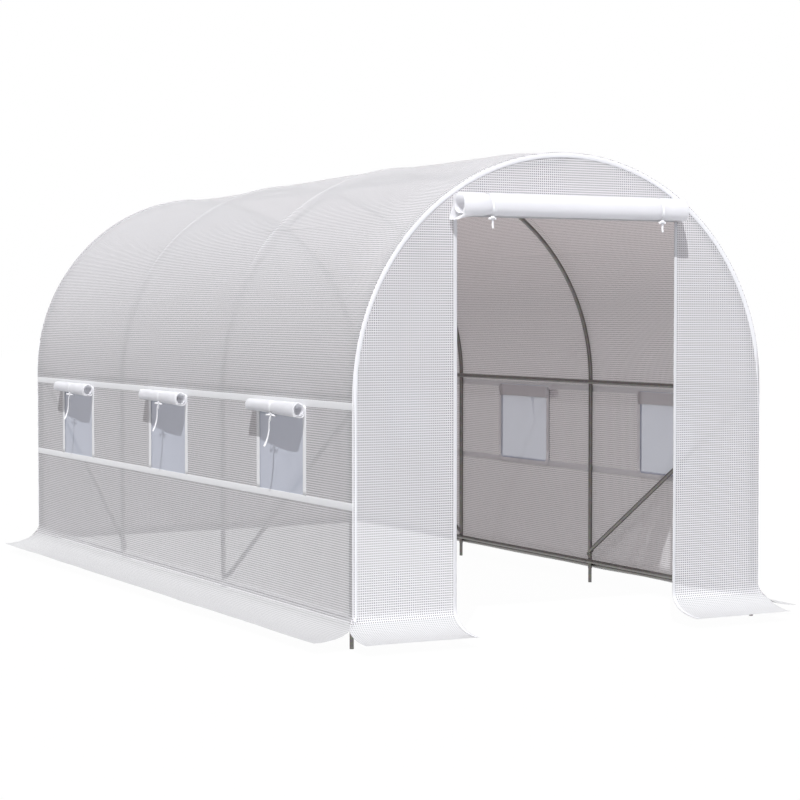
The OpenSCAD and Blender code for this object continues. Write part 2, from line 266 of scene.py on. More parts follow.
# Roof sheet
# White polyethylene ripstop: flat tapes laid in a square grid and laminated between two films. It is pulled
# over the arches from seam to seam, so it lies a little lower between the hoops and bends over each one.
roof_low, roof_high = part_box("roof_sheet")
cover_end = roof_high.y
sheet_solid = 0.003
cover_radius = roof_high.x - sheet_solid / 2
spring_z = roof_high.z - roof_high.x
seam_high_z = roof_low.z
crown = spring_z + cover_radius * math.pi / 2
bay_half = (hoop_ys[1] - hoop_ys[0]) / 2
wall_sag, roof_sag = 0.0010, 0.0022
sag_climb = 0.8
# Over each hoop the cloth is drawn into a narrow ridge, from a little way up the arch
ridge_rise, ridge_fade, ridge_flat = 0.0055, 0.009, 0.003
ridge_span, ridge_start = math.radians(28), 0.8
# The front half is cut a little full and stands up from its hoops, less so at the very front
full_rise, full_rear, full_front = 0.025, 1.5, -1.75
rear_run, front_run, front_drop = 1.9, 0.25, 0.85
ripple_height, ripples_per_metre = 0.0007, 4
# Fold marks: side, first and last place along the tunnel, place up the section, height
folds = [
    (-1, -1.30, -0.42, spring_z + cover_radius * math.radians(44.3), 0.0018),
    (-1, 0.35, 1.20, spring_z + cover_radius * math.radians(61), 0.0014),
    (1, -1.05, -0.10, spring_z + cover_radius * math.radians(38), 0.0016),
    (1, 0.60, 1.50, spring_z + cover_radius * math.radians(57), 0.0014),
]
fold_width, fold_run = 0.005, 0.15


def smooth_step(value):
    """A soft step from 0 to 1."""
    value = min(max(value, 0.0), 1.0)
    return value * value * (3 - 2 * value)


def cover_depth(side, y, s):
    """How far the cloth lies inside its line over the hoops, at a place along the tunnel and up its section."""
    lift = smooth_step((s - seam_high_z) / (sag_climb * cover_radius))
    from_hoop = min(abs(y - hoop) for hoop in hoop_ys)
    across = min(from_hoop / bay_half, 1.0)
    sag = (wall_sag + roof_sag * lift) * (1 - (1 - across) ** 2)
    pulled = smooth_step((s - spring_z) / cover_radius / ridge_span - ridge_start)
    ridge = ridge_rise * pulled * (1 - math.exp(-max(from_hoop - ridge_flat, 0) / ridge_fade))
    full = full_rise * lift ** 2 * smooth_step((full_rear - y) / rear_run)
    full *= 1 - front_drop * smooth_step((full_front - y) / front_run)
    ripple = ripple_height * noise.noise(Vector((y * ripples_per_metre, side * s * ripples_per_metre, 3)))
    ripple *= smooth_step(across * 4)
    fold = sum(height * math.exp(-((s - at) / fold_width) ** 2)
               * smooth_step((y - first) / fold_run) * smooth_step((last - y) / fold_run)
               for fold_side, first, last, at, height in folds if fold_side == side)
    return sag + ridge + ripple - fold - full


def cover_point(side, y, s, out=0.0):
    """A point of the cover: s is its height up the wall and on along the arch, out is outwards from the cloth."""
    reach = cover_radius - cover_depth(side, y, s) + out
    if s <= spring_z:
        return Vector((side * reach, y, s))
    angle = (s - spring_z) / cover_radius
    return Vector((side * reach * math.cos(angle), y, spring_z + reach * math.sin(angle)))


def along_places(*extra):
    """Places along the tunnel for the cloth's points, closest at the hoops, where it bends most."""
    near = (0, 0.004, 0.009, 0.016, 0.028, 0.05, 0.09, 0.15, 0.23, 0.33, 0.44, 0.55, 0.66)
    places = {round(hoop + way * step, 4) for hoop in hoop_ys for step in near for way in (-1, 1)}
    places |= {round(y, 4) for y in extra}
    return [-cover_end] + sorted(y for y in places if abs(y) < cover_end - 0.0005) + [cover_end]


def steps(first, last, count):
    """Evenly spaced values from first to last."""
    return [first + (last - first) * k / count for k in range(count + 1)]


def cloth_grid(rows, gap=None):
    """Points and faces through rows of points. gap says which cells, by row and column, are left open."""
    count = len(rows[0])
    faces = [(r * count + c, r * count + c + 1, (r + 1) * count + c + 1, (r + 1) * count + c)
             for r in range(len(rows) - 1) for c in range(count - 1) if not (gap and gap(r, c))]
    return [point for row in rows for point in row], faces


# Laminated ripstop: white tapes 5 mm wide every 10 mm, with a thin milky film in the cells between them.
# The tapes scatter most of the light, and the film lets more of it straight through.
thread_pitch = 0.010
thread_half = 0.0024
thread_soft = 0.0003


def square_weave(tree, pitch, inner, outer, edge):
    """1 on the threads of a square weave and 0 in its cells, with edges between two distances from a thread."""
    flat = add(tree, "ShaderNodeSeparateXYZ", {0: add(tree, "ShaderNodeUVMap", uv_map="cloth")})
    edges = {"From Min": inner, "From Max": outer, "To Min": 1, "To Max": 0}
    threads = []
    for direction in (0, 1):
        apart = add(tree, "ShaderNodeMath", {0: flat.outputs[direction], 1: pitch / 2}, operation="PINGPONG")
        threads.append(add(tree, "ShaderNodeMapRange", {"Value": apart, **edges}, interpolation_type=edge))
    return add(tree, "ShaderNodeMath", {0: threads[0], 1: threads[1]}, operation="MAXIMUM")


def ripstop_cloth(name, film, tape, film_glow, tape_glow, through_share, film_clear, tape_clear):
    """Ripstop of one weight: colours of film and tape by reflected and by passing light, and what passes."""
    material, tree = new_material(name)
    thread = square_weave(tree, thread_pitch, thread_half - thread_soft, thread_half + thread_soft, "SMOOTHSTEP")
    tint = add(tree, "ShaderNodeMix", {"Factor": thread, 6: linear(film), 7: linear(tape)}, data_type="RGBA")
    glow = add(tree, "ShaderNodeMix", {"Factor": thread, 6: linear(film_glow), 7: linear(tape_glow)},
               data_type="RGBA")
    bump = add(tree, "ShaderNodeBump", {"Strength": 0.3, "Distance": 0.0002, "Height": thread})
    face = add(tree, "ShaderNodeBsdfPrincipled",
               {"Base Color": tint.outputs[2], "Roughness": 0.45, "Normal": bump})
    through = add(tree, "ShaderNodeBsdfTranslucent", {"Color": glow.outputs[2]})
    body = add(tree, "ShaderNodeMixShader", {0: through_share, 1: face, 2: through})
    clear = add(tree, "ShaderNodeMapRange", {"Value": thread, "To Min": film_clear, "To Max": tape_clear})
    sheet = add(tree, "ShaderNodeMixShader", {0: clear, 1: body, 2: add(tree, "ShaderNodeBsdfTransparent")})
    add(tree, "ShaderNodeOutputMaterial", {"Surface": sheet})
    return material


ripstop = ripstop_cloth("laminated polyethylene ripstop", film="#7e7e81", tape="#f6f6f9", film_glow="#847676",
                        tape_glow="#b9a5a4", through_share=0.26, film_clear=0.30, tape_clear=0.09)

fold_places = {side: [at + k * fold_width / 2 for fold_side, _, _, at, _ in folds if fold_side == side
                      for k in range(-5, 6)] for side in (-1, 1)}
roof_ys = along_places()
roof_rows, roof_cloth = [], []
for side in (-1, 1):
    climb = sorted(steps(seam_high_z, crown, 64) + fold_places[side])
    for s in climb if side < 0 else climb[-2::-1]:
        roof_rows.append([cover_point(side, y, s) for y in roof_ys])
        roof_cloth += [(y, s if side < 0 else 2 * crown - s) for y in roof_ys]
roof = add_piece("roof_cloth", cloth_grid(roof_rows), ripstop, roof_cloth)
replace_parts(roof, "roof_sheet")

# Side walls
# On each side a band with three window openings and a plain strip below it, of the same ripstop, heat welded
# to each other and to the roof under the seam tapes. They hang flat against the legs.
seam_low_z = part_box("left_window_band")[0].z
skirt_top_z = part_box("left_lower_wall")[0].z
window_width, window_height = 0.446, 0.374
window_foot_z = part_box("left_window_tapes")[0].z
window_head_z = window_foot_z + window_height
bay_ys = [(a + b) / 2 for a, b in zip(hoop_ys, hoop_ys[1:])]
window_edges = [y + way * window_width / 2 for y in bay_ys for way in (-1, 1)]
wall_ys = along_places(*window_edges)


def in_window(y, s):
    """Whether a place on a side wall is in a window opening."""
    return window_foot_z < s < window_head_z and min(abs(y - bay) for bay in bay_ys) < window_width / 2


def add_wall(name, side, climb, node_name):
    """A strip of side wall, open where the windows are."""
    rows = [[cover_point(side, y, s) for y in wall_ys] for s in climb]

    def gap(r, c):
        return in_window((wall_ys[c] + wall_ys[c + 1]) / 2, (climb[r] + climb[r + 1]) / 2)

    cloth = [(y, s) for s in climb for y in wall_ys]
    wall = add_piece(name, cloth_grid(rows, gap), ripstop, cloth)
    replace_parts(wall, node_name)


band_climb = [seam_low_z] + steps(window_foot_z, window_head_z, 8) + [seam_high_z]
lower_climb = steps(skirt_top_z, seam_low_z, 14)
for side_name, side in sides.items():
    add_wall(f"{side_name}_window_band_cloth", side, band_climb, f"{side_name}_window_band")
    add_wall(f"{side_name}_lower_wall_cloth", side, lower_climb, f"{side_name}_lower_wall")

# End walls
# The ripstop ends hang flat in front of the end hoops: two panels beside the doorway and the gable over it in
# front, and one whole panel behind. Their edges are sewn to the roof and the side walls.
end_y = cover_end + sheet_solid / 2
door_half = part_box("front_right_panel")[0].x
# The edge over the doorway is turned up behind the door roll
head_turn = 0.014
door_head_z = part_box("front_gable")[0].z + head_turn
edge_fin, fin_run = 0.0045, 0.3
loose_from_edge = 0.25
loose_rise = 0.0035
waves_across, waves_up = 2.2, 1.6


def end_reach(z):
    """Half the width of an end wall at a height. Round the arch its seam allowance stands out as a narrow fin."""
    if z <= spring_z:
        return cover_radius
    radius = cover_radius + edge_fin * smooth_step((z - spring_z) / (fin_run * cover_radius))
    return math.sqrt(max(radius ** 2 - (z - spring_z) ** 2, 0.0))


def end_wave(x, z):
    """How far an end wall stands proud of its plane, as cloth that hangs loose between its edges does."""
    inset = min(end_reach(z) - abs(x), loose_from_edge) / loose_from_edge
    return loose_rise * max(inset, 0) * noise.noise(Vector((x * waves_across, z * waves_up, 5)))


def add_end(name, way, x_range, heights, columns, node_name):
    """Part of an end wall between two places across and a row of heights. way is -1 in front, 1 behind."""
    rows, cloth = [], []
    for z in heights:
        reach = end_reach(z)
        first, last = max(x_range[0], -reach), min(x_range[1], reach)
        places = steps(first, last, columns)
        rows.append([Vector((x, way * (end_y + end_wave(x, z)), z)) for x in places])
        cloth += [(x, z) for x in places]
    wall = add_piece(name, cloth_grid(rows), ripstop, cloth)
    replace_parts(wall, node_name)


panel_heights = steps(skirt_top_z, door_head_z, 40)
fin_radius = cover_radius + edge_fin
top_angle = math.radians(88.5)
gable_heights = [spring_z + fin_radius * math.sin(angle)
                 for angle in steps(math.asin((door_head_z - spring_z) / fin_radius), top_angle, 16)]
rear_heights = steps(skirt_top_z, spring_z, 20)[:-1] + [
    spring_z + fin_radius * math.sin(angle) for angle in steps(0, top_angle, 28)]
for side_name, reach in (("left", (-cover_radius, -door_half)), ("right", (door_half, cover_radius))):
    add_end(f"front_{side_name}_panel_cloth", -1, reach, panel_heights, 14, f"front_{side_name}_panel")
gable_reach = end_reach(door_head_z)
add_end("front_gable_cloth", -1, (-gable_reach, gable_reach), gable_heights, 36, "front_gable")
add_end("rear_wall_cloth", 1, (-cover_radius, cover_radius), rear_heights, 40, "rear_panel")

# Ground skirts
# The bottom of the cover, flared out over the base rails to be weighed down or dug in. The cloth runs on from
# the walls, turns outwards in a soft curve and ends in a cut edge that waves a little.
flare_wide = -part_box("left_skirt")[0].x - cover_radius - sheet_solid / 2
flare_tall = skirt_top_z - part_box("left_skirt")[0].z - sheet_solid
flare_angles = steps(0, math.pi / 2, 14)
flare_power = 1.2
edge_wander, wanders_per_metre = 0.006, 1.9
edge_lift, lifts_per_metre = 0.004, 2.6
lap_most, lap_angle = 0.036, math.radians(50)
# Further out on the flare the cloth takes a darker, less clear ripstop, painted shade for the floor's shadow under
# it
flare_shade_from_row = 4
flare_shade_ripstop = ripstop_cloth("polyethylene ripstop with painted floor shade", film="#9c9c9e", tape="#d0d0d1",
                                film_glow="#d8d0cf", tape_glow="#d4cccb", through_share=0.08, film_clear=0.04,
                                tape_clear=0.01)


def flare_line(angle):
    """Reach outwards and drop of the skirt's section, from upright at the wall to level at the cut edge."""
    return flare_wide * (1 - math.cos(angle)) ** flare_power, flare_tall * math.sin(angle)


def corner_lap(angle):
    """How far a skirt runs on past the corner of the tunnel, more towards its cut edge."""
    return lap_most * smooth_step(angle / lap_angle)


def flare(along, angle, seed):
    """Reach outwards and height of the skirt's section at a place along it."""
    loose = math.sin(angle) ** 2
    reach, drop = flare_line(angle)
    reach += loose * edge_wander * noise.noise(Vector((along * wanders_per_metre, seed, 1)))
    drop -= loose * edge_lift * noise.noise(Vector((along * lifts_per_metre, seed, 2)))
    return reach, skirt_top_z - drop


flare_drop = [0.0]
for a, b in zip(flare_angles, flare_angles[1:]):
    flare_drop.append(flare_drop[-1] + math.dist(flare_line(a), flare_line(b)))


def add_skirt(name, places, laps, point, seed, node_name):
    """A skirt along a row of places; point turns a place, a reach and a height into a point.

    laps says which of its two ends run on past a corner."""
    rows, cloth = [], []
    for angle, drop in zip(flare_angles, flare_drop):
        first, last = places[0] - laps[0] * corner_lap(angle), places[-1] + laps[1] * corner_lap(angle)
        row = [first] + places[1:-1] + [last]
        rows.append([point(along, *flare(along, angle, seed)) for along in row])
        cloth += [(along, skirt_top_z - drop) for along in row]
    skirt = add_piece(name, cloth_grid(rows), ripstop, cloth)
    # The outer rows of the flare get the darker, less clear ripstop: painted shade for the floor's shadow under them
    skirt.data.materials.append(flare_shade_ripstop)
    for number, face in enumerate(skirt.data.polygons):
        face.material_index = int(number // (len(places) - 1) >= flare_shade_from_row)
    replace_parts(skirt, node_name)


for side_name, side in sides.items():
    add_skirt(f"{side_name}_skirt_cloth", along_places(), (1, 1),
              lambda y, reach, z, side=side: (cover_point(side, y, skirt_top_z, reach)
                                              + Vector((0, 0, z - skirt_top_z))),
              4 + side, f"{side_name}_skirt")
    add_skirt(f"front_{side_name}_skirt_cloth", steps(*sorted((side * door_half, side * cover_radius)), 24),
              (side < 0, side > 0), lambda x, reach, z: Vector((x, -end_y - end_wave(x, skirt_top_z) - reach, z)),
              8 + side, f"front_{side_name}_skirt")
add_skirt("rear_skirt_cloth", steps(-cover_radius, cover_radius, 60), (1, 1),
          lambda x, reach, z: Vector((x, end_y + end_wave(x, skirt_top_z) + reach, z)), 12, "rear_skirt")

# Seam tapes
# White tape welded over the two seams along each side, outside and inside, 30 mm wide. It has soft edges and a
# slightly uneven face from the hot-air weld.
tape_width = 0.030
tape_rise = 0.0007
weld_gap = 0.0003
# Across the tape and out from the cloth, as shares of its half width and of its thickness
tape_section = [(-1, 0.25), (-0.97, 0.85), (-0.9, 1), (0.9, 1), (0.97, 0.85), (1, 0.25)]

# Welded polyethylene tape: smooth, white and nearly solid, with faint mottling where the weld took
weld_patch = 0.025
tape_plastic, tree = new_material("welded polyethylene tape")
place = add(tree, "ShaderNodeTexCoord").outputs["Object"]
patches = add(tree, "ShaderNodeTexNoise", {"Vector": place, "Scale": 1 / weld_patch, "Detail": 3})
tint = add(tree, "ShaderNodeMix", {"Factor": patches.outputs["Fac"], 6: linear("#f4f4f7"), 7: linear("#fbfbfc")},
           data_type="RGBA")
bump = add(tree, "ShaderNodeBump", {"Strength": 0.25, "Distance": 0.0006, "Height": patches.outputs["Fac"]})
face = add(tree, "ShaderNodeBsdfPrincipled", {"Base Color": tint.outputs[2], "Roughness": 0.42, "Normal": bump})
through = add(tree, "ShaderNodeBsdfTranslucent", {"Color": linear("#dedce0")})
tape_shader = add(tree, "ShaderNodeMixShader", {0: 0.05, 1: face, 2: through})
add(tree, "ShaderNodeOutputMaterial", {"Surface": tape_shader})


def tape_rings(places, point, half_width, rise=tape_rise):
    """Sections of a tape; point takes a place along it, a shift across it and a rise from the cloth."""
    return [[point(along, u * half_width, v * rise) for u, v in tape_section] for along in places]


seam_ys = along_places()
for side_name, side in sides.items():
    seams = [swept(tape_rings(
        seam_ys, lambda y, shift, rise: cover_point(side, y, z + shift, face * (rise + weld_gap)), tape_width / 2))
        for z in (seam_low_z, seam_high_z) for face in (1, -1)]
    tapes = add_piece(f"{side_name}_seams", joined(seams), tape_plastic)
    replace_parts(tapes, f"{side_name}_seam_tapes")

# End welts
# A soft rounded welt along the edge of each end wall, where it is sewn to the roof and the side walls: white
# tape folded over a cord. It runs up one wall, over the arch and down the other.
welt_half = 0.0100
welt_rise = 0.0022
welt_sink = 0.0012
welt_lip, lip_loss = 0.0025, 0.8
welt_drop = 0.038
# Down the walls the welt turns round the corner by this many degrees, and on the right it lies on the side
welt_turn = {-1: 15, 1: 75}
turn_from, turn_run = 0.25, 0.4
welt_climb = steps(skirt_top_z - welt_drop, skirt_top_z, 6)[:-1] + steps(skirt_top_z, spring_z, 16)[:-1]
welt_climb += steps(spring_z, crown, 48)
welt_angles = steps(0, math.pi, 10)

# Folded cloth: several layers of the ripstop sewn flat, whiter than the wall, puckered along the stitches
stitch_pitch = 0.004


def folded_cloth(name, soiled, clean):
    """Sewn layers of polyethylene cloth, between two whites."""
    material, tree = new_material(name)
    place = add(tree, "ShaderNodeTexCoord").outputs["Object"]
    puckers = add(tree, "ShaderNodeTexNoise", {"Vector": place, "Scale": 0.5 / stitch_pitch, "Detail": 2})
    soiling = add(tree, "ShaderNodeTexNoise", {"Vector": place, "Scale": 9, "Detail": 3})
    tint = add(tree, "ShaderNodeMix", {"Factor": soiling.outputs["Fac"], 6: linear(soiled), 7: linear(clean)},
               data_type="RGBA")
    bump = add(tree, "ShaderNodeBump", {"Strength": 0.35, "Distance": 0.0008, "Height": puckers.outputs["Fac"]})
    face = add(tree, "ShaderNodeBsdfPrincipled", {"Base Color": tint.outputs[2], "Roughness": 0.5, "Normal": bump})
    through = add(tree, "ShaderNodeBsdfTranslucent", {"Color": linear("#dedce0")})
    layers = add(tree, "ShaderNodeMixShader", {0: 0.14, 1: face, 2: through})
    add(tree, "ShaderNodeOutputMaterial", {"Surface": layers})
    return material


welt_cloth = folded_cloth("folded polyethylene welt", "#eeeef1", "#f8f8fa")


def welt_ring(side, way, s):
    """A half-round section round the end wall's edge at a place up the tunnel's section."""
    angle = max(s - spring_z, 0) / cover_radius
    outwards = Vector((side * math.cos(angle), 0, math.sin(angle)))
    ahead = Vector((0, way, 0))
    lip = welt_lip * (1 - lip_loss * math.sin(angle))
    corner = Vector((0, 0, min(s, spring_z))) + outwards * (cover_radius + lip) + ahead * (cover_end + sheet_solid)
    if s < skirt_top_z:
        spread = flare_line(math.asin((skirt_top_z - s) / flare_tall))[0]
        corner += (outwards + ahead) * spread
    turn = math.radians(welt_turn[side] * smooth_step((spring_z + turn_from - s) / turn_run))
    facing = ahead * math.cos(turn) + outwards * math.sin(turn)
    across = outwards * math.cos(turn) - ahead * math.sin(turn)
    centre = corner - (outwards * math.cos(turn) + ahead * math.sin(turn)) * welt_half
    return [centre + across * welt_half * math.cos(a) + facing * (welt_rise * math.sin(a) - welt_sink)
            for a in welt_angles]


for end_name, way in (("front", -1), ("rear", 1)):
    rings = [welt_ring(-1, way, s) for s in welt_climb] + [welt_ring(1, way, s) for s in welt_climb[-2::-1]]
    welt = add_piece(f"{end_name}_edge_welt", swept(rings), welt_cloth)
    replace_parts(welt, f"{end_name}_edge_tape")

# Doorway hems
# The cut edges beside the doorway are turned over and sewn into flat hems that run down to the edge of the
# skirt. A narrow hem edges the gable, and a tape above it carries the rolled door.
hem_half, hem_rise, hem_gap = 0.0078, 0.0022, 0.0004
slope_step = 0.02
# The hem on the left is turned over less, and stands further into the doorway
hem_shift = {-1: 0.010, 1: 0.0}
hem_cloth = folded_cloth("folded polyethylene hem", "#dadadd", "#e8e8ea")
hem_heights = steps(door_head_z, skirt_top_z, 30)
head_hem_half, head_hem_rise = 0.012, 0.003
head_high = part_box("door_tapes")[1]


def front_hem(side):
    """The hem of a front panel, from the door head down over the flare of its skirt."""
    x = side * (door_half + hem_half - hem_shift[side])
    centres = [(Vector((x, -end_y - end_wave(x, z), z)), Vector((0, -1, 0))) for z in hem_heights]
    for angle in flare_angles[1:]:
        reach, z = flare(x, angle, 8 + side)
        (near, high), (far, low) = flare_line(angle - slope_step), flare_line(angle + slope_step)
        normal = Vector((0, high - low, far - near)).normalized()
        centres.append((Vector((x, -end_y - end_wave(x, skirt_top_z) - reach, z)), normal))
    return swept([[centre + Vector((u * hem_half, 0, 0)) + out * (hem_gap + v * hem_rise) for u, v in tape_section]
                  for centre, out in centres])


def front_strip(z, half_width, half_length, rise):
    """A level tape across the gable."""
    return swept(tape_rings(
        steps(-half_length, half_length, 30),
        lambda x, shift, out: Vector((x, -end_y - end_wave(x, z + shift) - out - hem_gap, z + shift)),
        half_width, rise))


head_tape_half, head_tape_inset = 0.015, 0.024
hems = [front_hem(-1), front_hem(1),
        front_strip(door_head_z + head_hem_half, head_hem_half, door_half, head_hem_rise),
        front_strip(head_high.z - head_tape_half, head_tape_half, head_high.x - head_tape_inset, tape_rise)]
door_hems = add_piece("doorway_hems", joined(hems), hem_cloth)
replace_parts(door_hems, "door_tapes")

# Window frames
# Each window is edged with white tape up both sides, between the seam tapes. Inside, a narrower binding with
# round corners holds the screen along its sides and foot, and a wide one along its head.
frame_half, frame_gap = 0.0160, 0.0002
binding_half = 0.011
binding_gap = 0.008
binding_depth, binding_rise = 0.0042, 0.001
head_binding_half = 0.030
head_binding_end = 0.020
head_binding_gap = 0.0012
head_binding_z = window_head_z - 0.6 * head_binding_half
corner_radius = 0.030
window_climb = steps(seam_low_z, seam_high_z, 12)


def binding_path(bay):
    """Places along the wall and up it round the sides and foot of a window, with their directions outwards."""
    half = window_width / 2 + binding_gap + binding_half
    foot = window_foot_z - binding_gap - binding_half
    places = [((bay - half, z), (-1, 0)) for z in steps(window_head_z, foot + corner_radius, 8)]
    for centre_y, first in ((bay - half + corner_radius, math.pi), (bay + half - corner_radius, 1.5 * math.pi)):
        for angle in steps(first, first + math.pi / 2, 6):
            turn = (math.cos(angle), math.sin(angle))
            places.append(((centre_y + corner_radius * turn[0], foot + corner_radius * (1 + turn[1])), turn))
    return places + [((bay + half, z), (1, 0)) for z in steps(foot + corner_radius, window_head_z, 8)]


for side_name, side in sides.items():
    strips = []
    for bay in bay_ys:
        for way in (-1, 1):
            edge = bay + way * (window_width / 2 + frame_half)
            strips.append(swept(tape_rings(
                window_climb, lambda s, shift, rise: cover_point(side, edge + shift, s, rise + frame_gap),
                frame_half)))
        strips.append(swept([[cover_point(side, y + u * binding_half * out_y, z + u * binding_half * out_z,
                                          -binding_depth - v * binding_rise) for u, v in tape_section]
                             for (y, z), (out_y, out_z) in binding_path(bay)]))
        head_half = window_width / 2 + head_binding_end
        strips.append(swept(tape_rings(
            steps(bay - head_half, bay + head_half, 12),
            lambda y, shift, rise: cover_point(side, y, head_binding_z + shift,
                                               -binding_depth - head_binding_gap - rise), head_binding_half)))
    frames = add_piece(f"{side_name}_window_frames", joined(strips), tape_plastic)
    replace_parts(frames, f"{side_name}_window_tapes")

# Window screens
# A pane of pale blue-grey screen cloth behind each opening, a fine net coated with vinyl. It is held under the
# binding along its edges and hangs slack by a few millimetres.
screen_lap = 0.014
screen_depth = 0.0024
screen_slack = 0.003

# Coated net: threads every 1.5 mm, drawn every 4 mm so that they show. It lets some of the view through.
net_pitch = 0.004
net_half = 0.0013
screen_cloth, tree = new_material("vinyl-coated screen net")
thread = square_weave(tree, net_pitch, net_half * 0.5, net_half * 1.5, "LINEAR")
tint = add(tree, "ShaderNodeMix", {"Factor": thread, 6: linear("#d7ddee"), 7: linear("#dce2f0")}, data_type="RGBA")
face = add(tree, "ShaderNodeBsdfPrincipled", {"Base Color": tint.outputs[2], "Roughness": 0.4})
through = add(tree, "ShaderNodeBsdfTranslucent", {"Color": linear("#d8deee")})
body = add(tree, "ShaderNodeMixShader", {0: 0.24, 1: face, 2: through})
clear = add(tree, "ShaderNodeMapRange", {"Value": thread, "To Min": 0.31, "To Max": 0.17})
sheet = add(tree, "ShaderNodeMixShader", {0: clear, 1: body, 2: add(tree, "ShaderNodeBsdfTransparent")})
add(tree, "ShaderNodeOutputMaterial", {"Surface": sheet})

for side_name, side in sides.items():
    for number, bay in enumerate(bay_ys, 1):
        half = window_width / 2 + screen_lap
        ys = steps(bay - half, bay + half, 14)
        climb = steps(window_foot_z - screen_lap, window_head_z + screen_lap, 12)
        rows = []
        for s in climb:
            slack = [screen_slack * math.cos((y - bay) / half * math.pi / 2)
                     * math.sin((s - climb[0]) / (climb[-1] - climb[0]) * math.pi) for y in ys]
            rows.append([cover_point(side, y, s, -screen_depth - dip) for y, dip in zip(ys, slack)])
        pane = add_piece(f"{side_name}_window_screen_{number}", cloth_grid(rows), screen_cloth,
                         [(y, s) for s in climb for y in ys])
        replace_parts(pane, f"{side_name}_window_screens")

# Rolled door and window flaps
# Plain white polyethylene sheet with hemmed sides. Each flap hangs from its seam, passes under its own roll and
# winds inwards, and the first turn sags away from the others.
flap_thick = 0.0010
hem_width, hem_extra, hem_edge = 0.020, 0.0008, 0.004
# Where round the first turn, in turns from the wall, the sheet sags, is tucked in at its ends and swells
sag_at, tuck_at, swell_at, settle_width = 0.16, 0.17, 0.37, 0.09
tuck_slant = 0.25
sag_reach = 0.07
unevenness = 0.012
tie_pinch = 0.008
pinch_width = 0.008
pinch_places = (0, 0.002, 0.004, 0.006, 0.008, 0.011, 0.015, 0.02)
points_per_turn = 24


def swell(turn, belly):
    """How far the lower front of a roll stands out, as a loosely wound sheet settles."""
    return belly * math.exp(-((turn - swell_at) / settle_width) ** 2)


def roll_line(radius, turns, pitch, rise, belly, sag):
    """The sheet's line in section: across (the wall is at +radius), up, and turns wound, from the seam inwards."""
    line = [(radius - flap_thick, radius + rise, 0.0), (radius - flap_thick, (radius + rise) * 0.5, 0.0)]
    for k in range(int(turns * points_per_turn) + 1):
        turn = k / points_per_turn
        angle = 2 * math.pi * turn
        loose = sag * math.exp(-((turn - sag_at) / settle_width) ** 2) + swell(turn, belly)
        reach = radius - flap_thick - pitch * (turn - 0.5) + loose
        line.append((min(reach * math.cos(angle), radius - flap_thick), -reach * math.sin(angle), turn))
    return line


def rolled(place, half_length, radius, turns, pitch, rise, belly, sags, overhang, ties, seed):
    """A rolled sheet of real thickness; place turns along, across and up into a point of the tunnel.

    sags are for the first end, the middle and the last end, and ties are where straps pinch the roll."""
    near_tie = [tie + way * gap for tie in ties for gap in pinch_places for way in (-1, 1)]
    stations = sorted({round(station, 4) for station in
                       [-1, -0.995, -0.98] + steps(-0.96, 0.96, 36) + [0.98, 0.995, 1]
                       + [tie / half_length for tie in near_tie]})
    rings = []
    for station in stations:
        outer, inner = [], []
        from_ends = [math.exp(-(half_length * (1 + way * station) / sag_reach) ** 2) for way in (1, -1)]
        sag = sags[1] + (sags[0] - sags[1]) * from_ends[0] + (sags[2] - sags[1]) * from_ends[1]
        line = roll_line(radius, turns, pitch, rise, belly, sag)
        for i, (across, up, turn) in enumerate(line):
            ahead = line[min(i + 1, len(line) - 1)]
            behind = line[max(i - 1, 0)]
            direction = Vector((ahead[0] - behind[0], ahead[1] - behind[1])).normalized()
            normal = Vector((-direction.y, direction.x))
            tucked = overhang * (1 - math.exp(-((turn - tuck_at) / settle_width) ** 2) + tuck_slant * turn / turns)
            along = station * (half_length - tucked)
            uneven = unevenness * radius * noise.noise(Vector((along * 5, turn % 1 * 6, seed)))
            uneven *= smooth_step(turn * 4)
            pinch = sum(math.exp(-((along - tie) / pinch_width) ** 2) for tie in ties)
            uneven -= tie_pinch * pinch * smooth_step(turn * 6)
            hem = hem_extra * smooth_step((abs(along) - half_length + tucked + hem_width) / hem_edge)
            shift = Vector((across, up)).normalized() * uneven if turn else Vector((0, 0))
            for row, depth in ((outer, hem + flap_thick / 2), (inner, -flap_thick / 2)):
                row.append(place(along, across + shift.x - normal.x * depth, up + shift.y - normal.y * depth))
        rings.append(outer + inner[::-1])
    points, faces = swept(rings)
    count, across_count = len(rings[0]), len(line)
    faces = faces[:-2]
    for start in (0, (len(rings) - 1) * count):
        faces += [(start + i, start + i + 1, start + count - 2 - i, start + count - 1 - i)
                  for i in range(across_count - 1)]
    return points, faces


# Plain polyethylene sheet: bright white, satin, with faint creases along the roll where it was folded
crease_gap = 0.012
flap_sheet, tree = new_material("plain white polyethylene sheet")
place = add(tree, "ShaderNodeTexCoord").outputs["Object"]
creases = []
for stretch in ((0.06, 1, 1), (1, 0.06, 1)):
    drawn = add(tree, "ShaderNodeMapping", {"Vector": place, "Scale": stretch})
    creases.append(add(tree, "ShaderNodeTexNoise", {"Vector": drawn, "Scale": 1 / crease_gap, "Detail": 2}))
crease = add(tree, "ShaderNodeMath", {0: creases[0].outputs["Fac"], 1: creases[1].outputs["Fac"]},
             operation="MULTIPLY")
bump = add(tree, "ShaderNodeBump", {"Strength": 0.2, "Distance": 0.002, "Height": crease})
tint = add(tree, "ShaderNodeMix", {"Factor": crease, 6: linear("#f6f6f9"), 7: linear("#fbfbfc")}, data_type="RGBA")
face = add(tree, "ShaderNodeBsdfPrincipled", {"Base Color": tint.outputs[2], "Roughness": 0.38, "Normal": bump})
through = add(tree, "ShaderNodeBsdfTranslucent", {"Color": linear("#fafafb")})
flap_shader = add(tree, "ShaderNodeMixShader", {0: 0.68, 1: face, 2: through})
add(tree, "ShaderNodeOutputMaterial", {"Surface": flap_shader})

